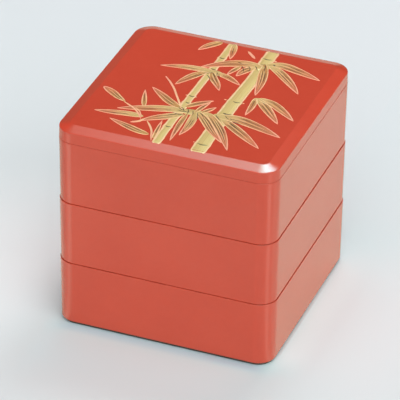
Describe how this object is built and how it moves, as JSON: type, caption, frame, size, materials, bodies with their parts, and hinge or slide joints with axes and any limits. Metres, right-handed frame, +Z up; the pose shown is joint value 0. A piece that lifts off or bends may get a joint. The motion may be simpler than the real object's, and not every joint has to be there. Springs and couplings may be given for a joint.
{
  "type": "stacking lacquer food box",
  "caption": "Square stacking food box: open tiers that nest foot into rim, under a lid with a wide flat chamfer, in vermilion lacquer with gold bamboo on the lid.",
  "frame": {"origin": "on the table, at the centre of the lowest foot ring", "axes": "+Z up, the way the tiers lift; +X and +Y square to the sides; the front, the large side in the picture, faces -Y"},
  "size_m": [0.197, 0.197, 0.1947],
  "materials": {
    "tier_lacquer": "satin-gloss vermilion lacquer",
    "lid_lacquer": "satin-gloss vermilion lacquer",
    "gold_decoration": "powdered gold, slightly raised"
  },
  "bodies": {
    "lower_tier": {"lower_tier": "tier_lacquer"},
    "middle_tier": {"middle_tier": "tier_lacquer"},
    "upper_tier": {"upper_tier": "tier_lacquer"},
    "lid": {"lid": "lid_lacquer"}
  },
  "joints": [
    {"name": "middle_tier_lift", "type": "slide", "parent": "lower_tier", "child": "middle_tier", "axis": [0, 0, 1], "range_m": [0, 0.1]},
    {"name": "upper_tier_lift", "type": "slide", "parent": "middle_tier", "child": "upper_tier", "axis": [0, 0, 1], "range_m": [0, 0.1]},
    {"name": "lid_lift", "type": "slide", "parent": "upper_tier", "child": "lid", "axis": [0, 0, 1], "range_m": [0, 0.12]}
  ]
}
